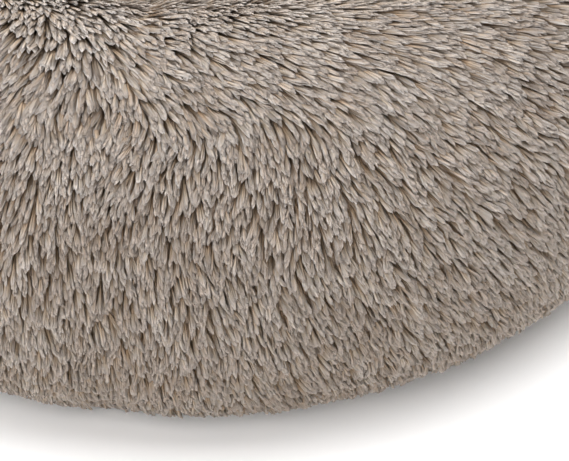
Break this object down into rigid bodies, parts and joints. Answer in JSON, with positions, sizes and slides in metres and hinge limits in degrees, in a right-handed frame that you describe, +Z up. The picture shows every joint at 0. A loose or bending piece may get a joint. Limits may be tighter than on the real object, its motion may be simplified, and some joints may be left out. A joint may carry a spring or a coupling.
{
  "type": "donut pet bed",
  "caption": "Round pet bed with a stuffed ring-shaped rim, a crowned cushion inside it, a long-pile cover and a zipped non-slip base.",
  "frame": {"origin": "on the floor, at the middle of the bed's underside", "axes": "+Z up along the bed's axis, -Y towards the viewer of the picture (the front), X along the zip"},
  "size_m": [0.5, 0.5, 0.172],
  "materials": {
    "pile_fabric": "long-pile faux fur, taupe with pale tips",
    "non_woven": "thin white non-woven liner",
    "fibre_fill": "loose white polyester fibre",
    "base_fabric": "dark woven fabric with small non-slip dots",
    "tape_fabric": "woven zip tape",
    "coil_plastic": "nylon zip coil",
    "zip_metal": "dull grey cast and stamped metal"
  },
  "bodies": {
    "bed": {"rim_cover_left": "pile_fabric", "rim_cover_right": "pile_fabric", "rim_liner_top": "non_woven", "rim_liner_bottom": "non_woven", "rim_fill": "fibre_fill", "cushion_cover": "pile_fabric", "cushion_liner_top": "non_woven", "cushion_liner_bottom": "non_woven", "cushion_fill": "fibre_fill", "base_panel_front": "base_fabric", "base_panel_rear": "base_fabric", "zip_tape_front": "tape_fabric", "zip_tape_rear": "tape_fabric", "zip_coil_front": "coil_plastic", "zip_coil_rear": "coil_plastic", "zip_top_stop_front": "zip_metal", "zip_top_stop_rear": "zip_metal", "zip_bottom_stop": "zip_metal"},
    "zip_slider": {"zip_slider_body": "zip_metal", "zip_slider_bridge": "zip_metal"},
    "pull_tab": {"zip_pull_tab": "zip_metal"}
  },
  "joints": [
    {"name": "zip_slide", "type": "slide", "parent": "bed", "child": "zip_slider", "axis": [1, 0, 0], "range_m": [0, 0.206]},
    {"name": "pull_tab_hinge", "type": "hinge", "parent": "zip_slider", "child": "pull_tab", "pos_m": [-0.10394, 0, 0.0066], "axis": [0, 1, 0], "range_deg": [-14, 156]}
  ]
}
